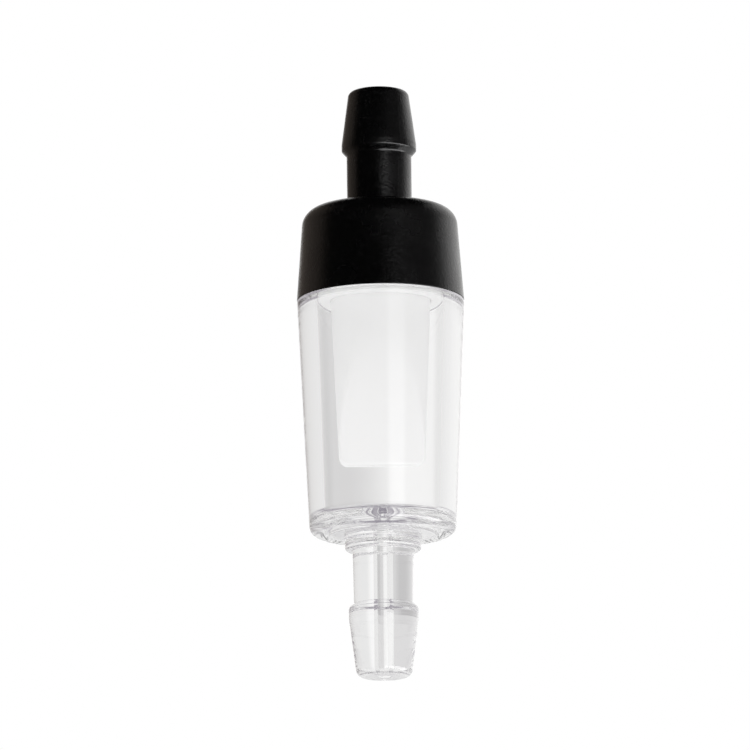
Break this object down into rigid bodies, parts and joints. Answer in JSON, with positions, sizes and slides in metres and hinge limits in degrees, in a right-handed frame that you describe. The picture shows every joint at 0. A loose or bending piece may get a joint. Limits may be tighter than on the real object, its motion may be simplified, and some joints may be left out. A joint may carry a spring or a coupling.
{
  "type": "air check valve",
  "caption": "In-line air check valve: black cap and clear cup with a tube barb at each end, and a soft duckbill inside that opens one way.",
  "frame": {"origin": "centre of the outlet mouth, the lowest plane of the valve, on the flow axis", "axes": "+Z along the flow axis from the outlet barb up to the inlet barb; +X along the duckbill's slit; +Y from the front lip to the back lip"},
  "size_m": [0.0134, 0.0134, 0.0479],
  "materials": {
    "clear_plastic": "clear, moulded styrene, polished",
    "black_plastic": "satin, fine moulded speckle",
    "natural_plastic": "natural white, satin",
    "silicone": "milky translucent silicone, satin"
  },
  "bodies": {
    "valve_body": {"outlet_body": "clear_plastic", "inlet_cap": "black_plastic", "retainer_ring": "natural_plastic", "duckbill_sleeve": "silicone"},
    "front_lip": {"duckbill_lip_front": "silicone"},
    "back_lip": {"duckbill_lip_back": "silicone"}
  },
  "joints": [
    {"name": "front_lip_flex", "type": "hinge", "parent": "valve_body", "child": "front_lip", "pos_m": [0, -0.00386, 0.027], "axis": [-1, 0, 0], "range_deg": [0, 5], "stiffness_Nm_per_rad": 0.004},
    {"name": "back_lip_flex", "type": "hinge", "parent": "valve_body", "child": "back_lip", "pos_m": [0, 0.00386, 0.027], "axis": [1, 0, 0], "range_deg": [0, 5], "stiffness_Nm_per_rad": 0.004}
  ],
  "couplings": [
    {"joint": "back_lip_flex", "follows": "front_lip_flex", "ratio": 1}
  ]
}
